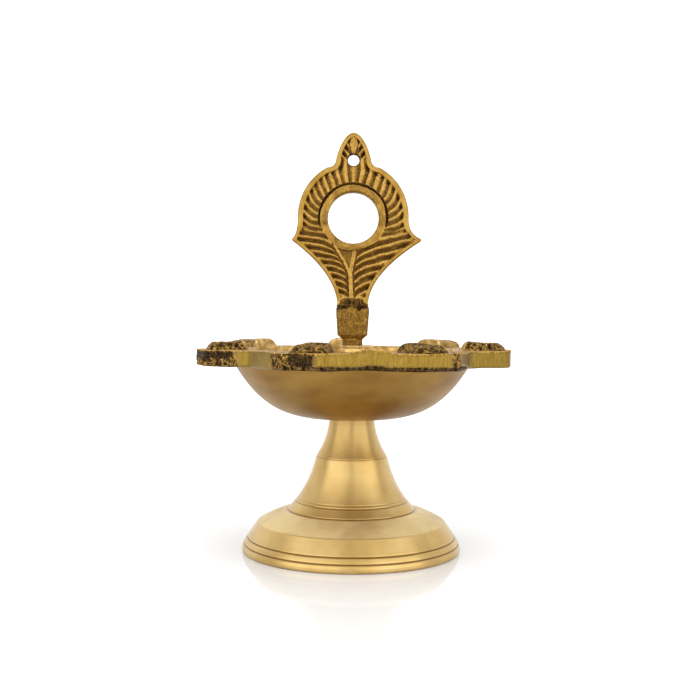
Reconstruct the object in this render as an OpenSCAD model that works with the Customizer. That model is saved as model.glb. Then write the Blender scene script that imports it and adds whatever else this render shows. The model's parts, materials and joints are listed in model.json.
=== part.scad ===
// Brass diya: a seven-wick oil lamp on a turned foot, with a cast ring handle.
// Origin: on the lamp's axis, at the plane that the foot stands on. +Z is up, and the
// decorated faces of the handle look along -Y and +Y.

/* [Foot] */
// Radius of the foot's rim
foot_r = 33; // [28:0.5:40]
// How far the standing edge lies inside the rim
rest_inset = 0.8; // [0.4:0.1:3]
// Height of the moulded rim, up to the shoulder
rim_h = 8.8; // [7:0.1:12]
// How far the rim leans in on its way up to the shoulder
rim_lean = 4.5; // [3:0.1:7]
// Rise of the domed top face, from the shoulder to the start of the cone
step_h = 3.7; // [2:0.1:6]
// Fullness of the domed top face: how far it bulges over a straight slope
dome_rise = 0.25; // [0:0.05:1.2]
// Radius at the bottom of the cone
cone_r = 19.5; // [16:0.5:23]
// Height at which the cone gives way to the stem
waist_z = 28.5; // [24:0.5:31]
// Radius of the cone where it meets the stem
waist_r = 10.8; // [9.5:0.1:12.5]
// Radius of the stem under the bowl
stem_r = 6.8; // [6:0.1:8]
// Height of the stem's top face, which carries the bowl
stem_top_z = 40; // [36:0.5:48]
// Wall of the hollow foot
foot_wall = 2.4; // [1.8:0.1:3]
// Rounding of the rim's shoulder
edge_round = 0.7; // [0.5:0.1:2]
// Depth of the turned grooves
groove_depth = 0.45; // [0.2:0.05:0.8]
// Width of the turned grooves
groove_w = 0.7; // [0.4:0.05:1]
// Thickness of the tapped web at the top of the stem
web_t = 8; // [6:0.5:9]

/* [Bowl] */
// Radius of the bowl where it meets the tray
bowl_r = 35.4; // [32:0.2:37]
// Height of the bowl, from its seat to the tray's underside
bowl_h = 16.2; // [12:0.2:20]
// Wall of the bowl
bowl_wall = 2.8; // [2:0.1:3.5]
// Fullness of the bowl's section: higher is flatter underneath and steeper at the side
bowl_power = 3.7; // [2.5:0.1:4.5]
// How far the bowl's mouth lies inside the bowl's outer radius
mouth_lip = 2.4; // [1.4:0.1:5]

/* [Tray] */
// Number of wick places
lobe_count = 7; // [5:1:9]
// How far the lobes reach beyond the recesses
lobe_len = 7; // [3:0.5:11]
// How far the recesses between the lobes reach beyond the bowl
tray_ledge = 5.1; // [3.5:0.1:8]
// Half of the angle that a lobe's tip takes
lobe_half_angle = 8; // [6:0.5:10]
// Radius of the tray's outline corners
lobe_corner_r = 2; // [0.5:0.1:3]
// Thickness of the tray
tray_t = 4.9; // [3.5:0.1:6.5]
// Height of the cast pads on the tray
pad_h = 2.8; // [1.5:0.1:3.5]
// Width of a pad at its foot
pad_w = 11; // [8:0.5:13]
// How much narrower a pad is at its top, on each side
pad_draft = 1.3; // [0.5:0.1:2]
// How far a pad stops short of its lobe's end
pad_inset = 3.5; // [1.5:0.1:6]

/* [Pillar and threads] */
// Radius of the pillar's top, in the middle of the bowl
pillar_top_r = 3.5; // [3.3:0.1:4]
// Radius of the pillar where it stands on the bowl's floor
pillar_foot_r = 5.6; // [5:0.1:7]
// How far the pillar's top stands above the tray's top face
pillar_rise = 0.3; // [0:0.1:2]
// Radius of the handle's threaded tenon
tenon_r = 2; // [1.6:0.1:2.2]
// Length of the handle's threaded tenon, under the neck
tenon_len = 10; // [7:0.5:11]
// Radius of the stud that joins the bowl and the foot
stud_r = 3; // [2.5:0.1:3.2]
// Length of the stud that is screwed into the bowl
stud_in_bowl = 6.5; // [5:0.5:7]
// Radial gap between a thread and its tapped hole
thread_gap = 0.05; // [0.03:0.01:0.08]
// Radial gap between a thread and a plain washer's hole
washer_gap = 0.25; // [0.15:0.05:0.4]
// Gap at the bottom of a blind hole
blind_gap = 0.8; // [0.5:0.1:1.5]

/* [Washers and nut] */
// Thickness of the sealing ring under the bowl
gasket_t = 0.8; // [0.5:0.1:1.2]
// Radius of the sealing ring under the bowl
gasket_r = 5.2; // [4.5:0.1:5.4]
// Thickness of the washer under the handle
handle_washer_t = 0.8; // [0.5:0.1:1.5]
// Radius of the washer under the handle
handle_washer_r = 3.2; // [3:0.1:3.6]
// Thickness of the spring washer
lock_washer_t = 1.6; // [1:0.1:2]
// Radius of the spring washer
lock_washer_r = 5.2; // [5:0.1:5.6]
// Width of the slit in the spring washer
lock_slit_w = 0.8; // [0.5:0.1:1.2]
// Size of the nut across its flats
nut_af = 10; // [9:0.5:10.5]
// Height of the nut
nut_h = 5; // [3:0.5:5]
// How far the stud stands out of the nut
stud_show = 1.5; // [0.5:0.5:3]

/* [Handle] */
// Height of the ring's centre above the post's top
ring_rise = 25.5; // [23:0.5:32]
// Outer radius of the ring
ring_r = 16.7; // [15.5:0.1:18]
// Radius of the finger hole
finger_r = 7.7; // [6.5:0.1:8.5]
// How far the finger hole's centre lies under the ring's centre
eye_drop = 0.4; // [0:0.1:1]
// Radius of the hanging hole in the tip
hang_r = 1.75; // [1:0.05:2]
// Height of the hanging hole above the ring's centre
hang_rise = 17; // [16.5:0.1:18]
// Height of the handle's tip above the ring's centre
tip_rise = 25.3; // [23:0.1:28]
// Half of the width of the pointed tip at the hanging hole
tip_half_w = 5.4; // [4.8:0.1:6]
// Reach of the left wing's point
wing_left = 18.5; // [17.5:0.1:21]
// Reach of the right wing's point
wing_right = 20.6; // [18:0.1:22]
// Distance of the wings' points under the ring's centre
wing_drop = 6.8; // [5.5:0.1:8]
// Length of the post
post_len = 11.3; // [9:0.1:15]
// Length of the neck between the washer and the post
neck_len = 2; // [1.3:0.1:5]
// Half of the post's width
post_half_w = 5; // [4:0.1:6]
// Thickness of the post, front to back
post_t = 6.4; // [5:0.1:8]
// Radius of the neck under the post
neck_r = 2.9; // [2.5:0.1:3.2]
// Thickness of the handle's plate over its raised borders
plate_t = 4; // [3:0.1:5]
// Width of the raised border along the plate's edge
border_w = 1.8; // [1.2:0.1:2.2]
// Width of the raised ring around the finger hole
eye_w = 2.2; // [1.5:0.1:2.8]
// Depth of the sunk panel on each face
panel_depth = 0.8; // [0.4:0.1:1.2]
// Height of the ribs in the sunk panel
rib_h = 0.5; // [0.2:0.05:0.8]
// Width of a rib
rib_w = 0.7; // [0.4:0.05:1]
// Number of ribs in a full turn around the finger hole
ring_ribs = 34; // [20:1:44]
// Number of leaf ribs on each side of the middle rib
leaf_ribs = 7; // [4:1:9]

/* [Hidden] */
$fn = 96;
eps = 0.01;
// How far each lobe strays from even spacing, as a hand-cut mould leaves it, in degrees
lobe_stray = [0, 0, 0, 0, 0, 0, 5];
// How much further each lobe reaches than lobe_r
lobe_stretch = [0, 0.85, 0, 0, 0, 0, 0];
// Angle of the first lobe from the lamp's front, towards +X
first_lobe = 30;
foot_rest_r = foot_r - rest_inset;
cone_z = rim_h + step_h;
// Height of the middle of the cone's curve over its foot, and the radius there
cone_sag = 6;
cone_mid_r = (waist_r + cone_r) / 2 - 2;
mouth_r = bowl_r - mouth_lip;
recess_r = bowl_r + tray_ledge;
lobe_r = recess_r + lobe_len;
pad_r = lobe_r - pad_inset;
tray_z = stem_top_z + bowl_h;
tray_top = tray_z + tray_t;
pillar_top = tray_top + pillar_rise;
floor_z = stem_top_z + bowl_wall;
neck_bottom = pillar_top + handle_washer_t;
tenon_bottom = neck_bottom - tenon_len;
post_bottom_z = neck_bottom + neck_len;
post_top_z = post_bottom_z + post_len;
ring_z = post_top_z + ring_rise;
eye_z = ring_z - eye_drop;
hang_z = ring_z + hang_rise;
tip_z = ring_z + tip_rise;
wing_z = ring_z - wing_drop;
stud_top = stem_top_z + stud_in_bowl;
web_z = stem_top_z - web_t;
lock_washer_z = web_z - lock_washer_t;
nut_z = lock_washer_z - nut_h;
stud_bottom = nut_z - stud_show;
wrench_r = nut_af / sqrt(3) + 0.5;
gold = "#c9a25a";
dark_gold = "#a8843a";
steel = "#b8b8b0";
fibre = "#6b4a32";

// Height of the upper groove in the rim, and where the bead below it bulges most, as a share of that
rim_groove_z = 4.3;
upper_band = 0.62;
// Radius and height of each turned groove, from the rim up to the waist
grooves = [[foot_r - 0.35, 2.5], [foot_r - 1.45, rim_groove_z], [cone_r, cone_z],
           [cone_r - 2.3, cone_z + 2.7], [waist_r, waist_z]];

// Points along a curve that leaves a for b and arrives at c (a quadratic Bezier)
function bend(a, b, c, n = 12) =
    [for (i = [0:n]) let (t = i / n) (1 - t) * (1 - t) * a + 2 * t * (1 - t) * b + t * t * c];

// Outer profile of the stem and cone, from the stem's top down to the cone's foot
function stem_curve() = concat(
    bend([stem_r, stem_top_z], [stem_r + 0.6, waist_z + 5], [waist_r, waist_z]),
    bend([waist_r, waist_z], [cone_mid_r, cone_z + cone_sag], [cone_r, cone_z]));

// Unit vector at an angle from the lamp's front, towards +X
function heading(a) = [sin(a), -cos(a)];
function lobe_angle(i) = first_lobe + i * 360 / lobe_count + lobe_stray[i % len(lobe_stray)];

// Angle of the lobe that follows lobe i, counted on past a full turn
function next_lobe(i) = i + 1 < lobe_count ? lobe_angle(i + 1) : lobe_angle(0) + 360;
function tray_corners() = [for (i = [0:lobe_count - 1])
    let (a = lobe_angle(i), r = lobe_r + lobe_stretch[i % len(lobe_stretch)])
    each [r * heading(a - lobe_half_angle), r * heading(a + lobe_half_angle),
          recess_r * heading((a + next_lobe(i)) / 2)]];

// Replaces each corner of an outline with a small curve that starts r away from the corner
function soften(pts, r, n = 4) = [for (i = [0:len(pts) - 1])
    let (p = pts[i], u = pts[(i + len(pts) - 1) % len(pts)] - p, v = pts[(i + 1) % len(pts)] - p)
    each bend(p + u / norm(u) * r, p, p + v / norm(v) * r, n)];

// Edge of the leaf on the right, from the post's top out to the point of a wing of the given reach
function leaf_curve(wing) =
    bend([post_half_w - 0.3, post_top_z], [post_half_w + 1, post_top_z + 9], [wing, wing_z], 14);

// Point on the ring's outside at an angle up from the right
function ring_point(a) = [ring_r * cos(a), ring_z + ring_r * sin(a)];

// Right half of the handle's outline, from the post's top up to the tip, for a wing of the given reach
function handle_side(wing) = concat(
    leaf_curve(wing),
    bend([wing, wing_z], [ring_r + 0.6, wing_z + 1.6], ring_point(-8), 6),
    [for (a = [0:6:60]) ring_point(a)],
    bend(ring_point(64), [tip_half_w + 0.4, hang_z - 2], [tip_half_w - 0.1, hang_z + 0.6], 6),
    bend([tip_half_w - 0.7, hang_z + 2.6], [tip_half_w - 1.6, tip_z - 1.4], [0.7, tip_z - 0.1], 8));

// The post, seen from the front: cut corners at its bottom, widest a little under its top
function post_corners() = [[-post_half_w + 0.4, post_bottom_z + 1], [-post_half_w + 1.9, post_bottom_z],
                           [post_half_w - 1.9, post_bottom_z], [post_half_w - 0.4, post_bottom_z + 1],
                           [post_half_w + 0.2, post_top_z - 3], [post_half_w - 0.6, post_top_z],
                           [-post_half_w + 0.6, post_top_z], [-post_half_w + 0.1, post_top_z - 3]];
function reversed(v) = [for (i = [len(v) - 1:-1:0]) v[i]];
function handle_outline() = concat(handle_side(wing_right),
    [for (p = reversed(handle_side(wing_left))) [-p.x, p.y]]);

module ring(r, hole, h, z) {
    translate([0, 0, z])
        difference() {
            cylinder(r = r, h = h);
            translate([0, 0, -eps]) cylinder(r = hole, h = h + 2 * eps);
        }
}

// A turned groove cut into the foot at radius r and height z
module groove(r, z) {
    rotate_extrude()
        translate([r, z])
            circle(r = groove_w / 2, $fn = 16);
}

module foot() {
    shoulder_r = foot_r - rim_lean;
    shoulder = [shoulder_r - edge_round, rim_h + edge_round * step_h / (shoulder_r - cone_r)];
    inside_r = foot_rest_r - foot_wall;
    under_z = cone_z - foot_wall;
    color(gold)
        difference() {
            rotate_extrude()
                polygon(concat(
                    [[0, stem_top_z]],
                    stem_curve(),
                    bend([cone_r, cone_z], ([cone_r, cone_z] + shoulder) / 2 + [0.6, 2 * dome_rise],
                         shoulder, 8),
                    bend(shoulder, [shoulder_r, rim_h],
                         [shoulder_r + 0.4 * edge_round, rim_h - 0.8 * edge_round], 6),
                    bend([foot_r - 1.45, rim_groove_z], [foot_r - 0.3, upper_band * rim_groove_z],
                         [foot_r, 1.4], 6),
                    [[foot_r, 0.7], [foot_rest_r, 0], [0, 0]]));
            rotate_extrude()
                polygon(concat(
                    [[0, -eps], [inside_r, -eps], [inside_r, rim_h / 2 - 1],
                     [shoulder_r - foot_wall, rim_h - foot_wall], [cone_r - foot_wall, under_z]],
                    bend([cone_r - foot_wall, under_z], [cone_mid_r - foot_wall, under_z + cone_sag],
                         [max(waist_r - foot_wall, wrench_r), waist_z - 3]),
                    [[wrench_r, web_z], [0, web_z]]));
            translate([0, 0, web_z - 1]) cylinder(r = stud_r + thread_gap, h = web_t + 2);
            translate([0, 0, stem_top_z - gasket_t])
                cylinder(r = gasket_r + thread_gap, h = gasket_t + 1);
            for (g = grooves) groove(g[0] + groove_w / 2 - groove_depth, g[1]);
        }
}

module bowl_gasket() {
    color(fibre)
        ring(gasket_r, stud_r + washer_gap, gasket_t, stem_top_z - gasket_t);
}

// Solid of revolution whose radius follows a power curve, r inset by the wall
module bowl_form(r, h, z, top) {
    steps = 20;
    rotate_extrude()
        polygon(concat([[0, z]],
                       [for (i = [3:steps]) let (t = i / steps) [r * t, z + h * pow(t, bowl_power)]],
                       [[mouth_r, tray_top], [mouth_r + (top - tray_top) / 3, top], [0, top]]));
}

module pad(i) {
    inner = mouth_r - 4;
    length = pad_r - inner;
    rotate([0, 0, lobe_angle(i) - 90])
        translate([inner, 0, tray_top - eps])
            rotate([90, 0, 90])
                linear_extrude(length)
                    polygon([[-pad_w / 2, 0], [pad_w / 2, 0],
                             [pad_w / 2 - pad_draft, pad_h], [-pad_w / 2 + pad_draft, pad_h]]);
}

module bowl() {
    color(dark_gold)
        difference() {
            union() {
                difference() {
                    union() {
                        bowl_form(bowl_r, bowl_h, stem_top_z, tray_top - 1);
                        translate([0, 0, tray_z])
                            linear_extrude(tray_t)
                                polygon(soften(tray_corners(), lobe_corner_r));
                        for (i = [0:lobe_count - 1]) pad(i);
                    }
                    bowl_form(bowl_r - bowl_wall, tray_z + 0.6 - floor_z, floor_z, tray_top + pad_h + 1);
                }
                translate([0, 0, floor_z - 1])
                    cylinder(r1 = pillar_foot_r, r2 = pillar_top_r, h = pillar_top - floor_z + 1);
            }
            translate([0, 0, tenon_bottom - blind_gap])
                cylinder(r = tenon_r + thread_gap, h = tenon_len + blind_gap + 1);
            translate([0, 0, stem_top_z - 1]) cylinder(r = stud_r, h = stud_in_bowl + 1);
        }
}

module bowl_stud() {
    color(steel)
        translate([0, 0, stud_bottom])
            cylinder(r = stud_r, h = stud_top - stud_bottom);
}

module lock_washer() {
    color(steel)
        difference() {
            ring(lock_washer_r, stud_r + washer_gap, lock_washer_t, lock_washer_z);
            translate([lock_washer_r, 0, lock_washer_z + lock_washer_t / 2])
                rotate([30, 0, 0])
                    cube([2 * lock_washer_r, lock_slit_w, 4 * lock_washer_t], center = true);
        }
}

module lock_nut() {
    color(steel)
        difference() {
            intersection() {
                translate([0, 0, nut_z]) cylinder(d = nut_af / cos(30), h = nut_h, $fn = 6);
                translate([0, 0, nut_z])
                    cylinder(r1 = nut_af / 2 + 0.4, r2 = nut_af / 2 + 0.4 + nut_h, h = nut_h);
            }
            translate([0, 0, nut_z - 1]) cylinder(r = stud_r + thread_gap, h = nut_h + 2);
        }
}

module handle_washer() {
    color(gold)
        ring(handle_washer_r, tenon_r + washer_gap, handle_washer_t, pillar_top);
}

// The handle's plate, standing in the XZ plane: t is its whole thickness
module plate(t, pts) {
    translate([0, t / 2, 0])
        rotate([90, 0, 0])
            linear_extrude(t)
                polygon(pts);
}

// The sunk panel between the border and the eye: everything that is cut away, then what stands in it
module panel_cut(t) {
    translate([0, t / 2, 0])
        rotate([90, 0, 0])
            linear_extrude(t)
                difference() {
                    union() {
                        translate([0, ring_z]) circle(r = ring_r - border_w);
                        polygon(soften([[-post_half_w + border_w + 0.6, post_top_z + 3],
                                        [post_half_w - border_w - 0.6, post_top_z + 3],
                                        [wing_right - 2.6 * border_w, wing_z + 0.4],
                                        [-wing_left + 2.6 * border_w, wing_z + 0.4]], 0.6));
                    }
                    translate([0, eye_z]) circle(r = finger_r + eye_w);
                    for (s = [-1, 1]) leaf_edge(s);
                }
}

// Keeps the curved border of the leaf on one side
module leaf_edge(s) {
    wing = s > 0 ? wing_right : wing_left;
    inner_edge = [for (p = leaf_curve(wing)) [p.x - border_w, p.y]];
    polygon([for (p = concat(inner_edge, [[2 * wing, wing_z], [2 * wing, post_top_z]])) [s * p.x, p.y]]);
}

module ring_rib(a) {
    inner = finger_r + eye_w - 0.3;
    translate([0, 0, eye_z])
        rotate([0, -a, 0])
            translate([inner, 0, -rib_w / 2])
                cube([ring_r - border_w - eye_drop - inner, panel_depth, rib_w]);
}

module leaf_rib(i, s) {
    z = post_top_z + 4.5 + i * 1.7;
    length = 2.2 + i * 1.05;
    translate([s * 0.4, 0, z])
        rotate([0, s > 0 ? -35 + i : 215 - i, 0])
            translate([0, 0, -rib_w / 2])
                cube([length, panel_depth, rib_w]);
}

// Raised ribs of one face, lying in the panel's floor
module ribs() {
    translate([0, -plate_t / 2 + panel_depth - rib_h, 0]) {
        for (i = [0:ring_ribs - 1])
            let (a = 360 * (i + 0.5) / ring_ribs)
                if (a < 200 || a > 340) ring_rib(a);
        for (s = [-1, 1], i = [0:leaf_ribs - 1]) leaf_rib(i, s);
        translate([-rib_w / 2, 0, post_top_z + 2])
            cube([rib_w, panel_depth, eye_z - finger_r - eye_w - post_top_z - 1.8]);
    }
}

module handle() {
    color(dark_gold) {
        difference() {
            union() {
                difference() {
                    plate(plate_t, handle_outline());
                    for (s = [-1, 1])
                        translate([0, s * (plate_t - panel_depth + eps) / 2, 0])
                            panel_cut(panel_depth + eps);
                }
                ribs();
                mirror([0, 1, 0]) ribs();
                plate(post_t, soften(post_corners(), 0.4));
            }
            translate([0, plate_t, eye_z]) rotate([90, 0, 0]) cylinder(r = finger_r, h = 2 * plate_t);
            translate([0, plate_t, hang_z]) rotate([90, 0, 0]) cylinder(r = hang_r, h = 2 * plate_t);
        }
        translate([0, 0, neck_bottom]) cylinder(r = neck_r, h = post_bottom_z - neck_bottom + 0.5);
        translate([0, 0, tenon_bottom]) cylinder(r = tenon_r, h = tenon_len + eps);
    }
}

foot();
bowl_gasket();
bowl();
bowl_stud();
lock_washer();
lock_nut();
handle_washer();
handle();
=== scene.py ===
"""Brass diya on a turned foot: the looks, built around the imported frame. Metres, +Z up, front along -Y."""
import json
import math

import bpy
import numpy as np
from mathutils import Matrix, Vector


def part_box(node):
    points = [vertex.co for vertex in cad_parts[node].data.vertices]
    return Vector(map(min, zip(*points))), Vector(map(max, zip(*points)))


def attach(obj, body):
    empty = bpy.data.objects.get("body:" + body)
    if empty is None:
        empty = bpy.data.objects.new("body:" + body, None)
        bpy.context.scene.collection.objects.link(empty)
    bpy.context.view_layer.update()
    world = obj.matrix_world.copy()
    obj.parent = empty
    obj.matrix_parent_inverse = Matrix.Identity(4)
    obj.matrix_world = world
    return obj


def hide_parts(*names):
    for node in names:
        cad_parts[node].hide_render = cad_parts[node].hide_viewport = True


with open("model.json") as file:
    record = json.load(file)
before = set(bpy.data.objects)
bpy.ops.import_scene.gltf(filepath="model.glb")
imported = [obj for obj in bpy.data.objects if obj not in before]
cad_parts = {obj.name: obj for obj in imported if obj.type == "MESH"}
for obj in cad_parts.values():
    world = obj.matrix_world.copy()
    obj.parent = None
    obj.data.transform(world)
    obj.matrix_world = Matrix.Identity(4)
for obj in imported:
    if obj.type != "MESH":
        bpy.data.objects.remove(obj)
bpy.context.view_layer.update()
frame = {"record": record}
MM = 0.001
TAU = 2 * math.pi


def low(node):
    """Lowest corner of a CAD node's box, in millimetres."""
    return np.array(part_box(node)[0]) / MM


def high(node):
    """Highest corner of a CAD node's box, in millimetres."""
    return np.array(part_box(node)[1]) / MM


# ---------------------------------------------------------------- sizes, in millimetres

FOOT_R = high("foot")[0]
STEM_TOP = high("foot")[2]
REST_R, RIM_H, RIM_LEAN, CONE_R, CONE_Z = 32.2, 8.8, 4.5, 19.5, 12.5
WAIST_R, WAIST_Z, STEM_R, WEB_Z, FOOT_WALL = 10.8, 28.5, 6.8, 32.0, 2.4
WRENCH_R, STUD_HOLE_R = 6.27, 3.05
GASKET_SEAT_R, GASKET_SEAT_DEPTH = 5.25, 0.8

BOWL_R, BOWL_H, BOWL_WALL, BOWL_POWER, MOUTH_R = 35.4, 16.2, 2.8, 3.7, 33.0
TRAY_Z = STEM_TOP + BOWL_H
TRAY_TOP = TRAY_Z + 4.9
LOBE_R, RECESS_R, LOBE_HALF = 47.5, 40.5, 8.0
LOBES = np.array([30, 81.43, 132.86, 184.29, 235.71, 287.14, 343.57])
STRETCH = np.array([0, 0.85, 0, 0, 0, 0, 0])
PAD_TOP = high("bowl")[2]

PILLAR_TOP = low("handle_washer")[2]
NECK_Z = high("handle_washer")[2]
TENON_Z = low("handle")[2]
NECK_R = 3.1
POST_BOTTOM, POST_TOP, POST_HALF_W = 64.2, 75.5, 5.0

MOUNTS = {m["name"]: m for m in frame["record"]["mounts"]}
EYE_Z = MOUNTS["finger_ring"]["pos_m"][2] / MM
EYE_R = MOUNTS["finger_ring"]["dims"]["r_mm"]
HANG_Z = MOUNTS["hanging_hole"]["pos_m"][2] / MM
HANG_R = MOUNTS["hanging_hole"]["dims"]["r_mm"]
RING_Z, RING_R = 101.0, 16.7
TIP_Z = high("handle")[2]
WING_Z = RING_Z - 6.8
WINGS = {1: high("handle")[0], -1: -low("handle")[0]}
PLATE_HALF_T = 2.0
BORDER_W, EYE_W = 1.6, 2.2


# ---------------------------------------------------------------- shapes

def grid_faces(rows, cols, wrap_rows=False, wrap_cols=False):
    """Quads of a rows by cols grid of points, row after row; a wrapped side joins its last line to its first."""
    r, c = np.meshgrid(np.arange(rows - (not wrap_rows)), np.arange(cols - (not wrap_cols)), indexing="ij")
    r2, c2 = (r + 1) % rows, (c + 1) % cols
    return np.stack([r * cols + c, r * cols + c2, r2 * cols + c2, r2 * cols + c], -1).reshape(-1, 4)


def welded(points, quads):
    """Joins points within a tenth of a micron and sorts the quads into true quads and those shrunk to triangles."""
    _, first, back = np.unique(np.round(points / 1e-4).astype(np.int64), axis=0,
                               return_index=True, return_inverse=True)
    quads = back.reshape(-1)[quads]
    twin = quads == np.roll(quads, -1, axis=1)
    triangles = np.concatenate([np.delete(quads[twin[:, k] & (twin.sum(1) == 1)], k, axis=1) for k in range(4)])
    return first, quads[~twin.any(1)], triangles


def enclosed(points, faces):
    """Six times the volume under a set of faces, fanned into triangles about their first corners."""
    a = points[faces[:, 0]]
    return sum(np.einsum("ij,ij->", a, np.cross(points[faces[:, k]], points[faces[:, k + 1]]))
               for k in range(1, faces.shape[1] - 1))


def add_piece(name, points, quads, body, replaces=(), marks=None):
    """A closed skin of points in millimetres becomes an object that rides on a body; its faces are turned outwards
    by the sign of the volume they enclose, and marks are numbers per point that its material reads."""
    points = np.asarray(points, float).reshape(-1, 3)
    first, quads, triangles = welded(points, np.asarray(quads))
    points = points[first]
    if enclosed(points, quads) + (enclosed(points, triangles) if len(triangles) else 0) < 0:
        quads, triangles = quads[:, ::-1], triangles[:, ::-1]
    mesh = bpy.data.meshes.new(name)
    mesh.from_pydata((points * MM).tolist(), [], quads.tolist() + triangles.tolist())
    mesh.polygons.foreach_set("use_smooth", [True] * len(mesh.polygons))
    for field, values in (marks or {}).items():
        layer = mesh.attributes.new(field, "FLOAT", "POINT")
        layer.data.foreach_set("value", np.asarray(values, np.float32).reshape(-1)[first])
    mesh.update()
    piece = bpy.data.objects.new(name, mesh)
    bpy.context.scene.collection.objects.link(piece)
    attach(piece, body)
    if replaces:
        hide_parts(*replaces)
    return piece


def bend(a, b, c, n=12):
    """Points of a curve that leaves a for b and arrives at c: a quadratic Bezier of n steps."""
    t = np.linspace(0, 1, n + 1)[:, None]
    return (1 - t) ** 2 * np.array(a) + 2 * t * (1 - t) * np.array(b) + t ** 2 * np.array(c)


def chain(*runs):
    """Points and curves joined into one array, in order."""
    return np.concatenate([np.atleast_2d(np.asarray(run, float)) for run in runs])


def walked(path):
    """Distance walked along a path of points, from its start."""
    return np.concatenate([[0], np.cumsum(np.linalg.norm(np.diff(path, axis=0), axis=1))])


def evenly(path, step):
    """The same path with points no further apart than step, its own corners kept."""
    way = walked(path)
    parts = np.maximum(1, np.ceil(np.diff(way) / step)).astype(int)
    at = np.concatenate([np.linspace(a, b, n, endpoint=False) for a, b, n in zip(way[:-1], way[1:], parts)]
                        + [way[-1:]])
    return np.stack([np.interp(at, way, path[:, k]) for k in range(path.shape[1])], 1)


def spun(profile, steps):
    """A profile of (radius, height) carried round the Z axis: x = r sin a, y = -r cos a, for angles a from the
    front."""
    a = np.arange(steps) * TAU / steps
    r, z = profile[:, :1], profile[:, 1:]
    return np.stack([r * np.sin(a), -r * np.cos(a), np.broadcast_to(z, (len(profile), steps))], -1)


def smooth(x, start, end):
    """0 before start and 1 after end, with an even ease between; start may be the larger."""
    t = np.clip((x - start) / (end - start), 0, 1)
    return t * t * (3 - 2 * t)


def grain(p, size, seed=0):
    """Random heights from 0 to 1 over points p: random values on a lattice of that size, eased between its corners."""
    q = np.asarray(p, float) / size + 19.7 * seed + 400
    cell = np.floor(q).astype(np.int64)
    t = q - cell
    t = t * t * (3 - 2 * t)
    total = 0
    for corner in np.ndindex(2, 2, 2):
        x, y, z = np.moveaxis(cell + np.array(corner), -1, 0)
        n = (x * 374761393 + y * 668265263 + z * 1442695041) & 0x7FFFFFFF
        n = ((n ^ (n >> 13)) * 1274126177) & 0x7FFFFFFF
        n = (n ^ (n >> 16)) & 0xFFFFFF
        total = total + np.prod(np.where(corner, t, 1 - t), axis=-1) * n / 0xFFFFFF
    return total


def worms(p, size, seed=0):
    """Crests of a sand-cast skin, 0 in the pits and 1 on the crests: the folded middle of two sizes of grain."""
    coarse = 1 - np.abs(2 * grain(p, size, seed) - 1) * 1.7
    fine = 1 - np.abs(2 * grain(p, size * 0.5, seed + 1) - 1) * 1.7
    return np.clip(0.62 * coarse + 0.38 * fine, 0, 1)


# ---------------------------------------------------------------- foot

# Radius and height of each turned groove's middle, and its depth
GROOVES = [[FOOT_R - 0.35, 2.5, 0.3], [FOOT_R - 1.45, 4.3, 0.3], [CONE_R, CONE_Z, 0.28],
           [CONE_R - 2.3, CONE_Z + 2.7, 0.24], [CONE_R - 2.9, CONE_Z + 3.5, 0.14], [WAIST_R, WAIST_Z, 0.1]]
DOME_RISE = 0.25


def foot_outside():
    """Radius and height of the foot's outside, from the stem's top down: stem, waist, cone, slightly domed slope,
    shoulder, straight rim side, bead and rounded lower edge."""
    shoulder = FOOT_R - RIM_LEAN
    crown = [(CONE_R + shoulder - 0.5) / 2 + 0.6, (CONE_Z + RIM_H + 0.22) / 2 + 2 * DOME_RISE]
    return chain(bend([STEM_R, STEM_TOP], [STEM_R + 0.6, WAIST_Z + 5], [WAIST_R, WAIST_Z], 30),
                 bend([WAIST_R, WAIST_Z], [(WAIST_R + CONE_R) / 2 - 2, CONE_Z + 6], [CONE_R, CONE_Z], 40),
                 bend([CONE_R, CONE_Z], crown, [shoulder - 0.5, RIM_H + 0.22], 24),
                 bend([shoulder - 0.5, RIM_H + 0.22], [shoulder, RIM_H], [shoulder + 0.25, RIM_H - 0.5], 8),
                 bend([FOOT_R - 1.45, 4.3], [FOOT_R - 0.3, 2.67], [FOOT_R, 1.4], 8),
                 [[FOOT_R, 0.7], [FOOT_R - 0.25, 0.18], [REST_R, 0]])


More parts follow.
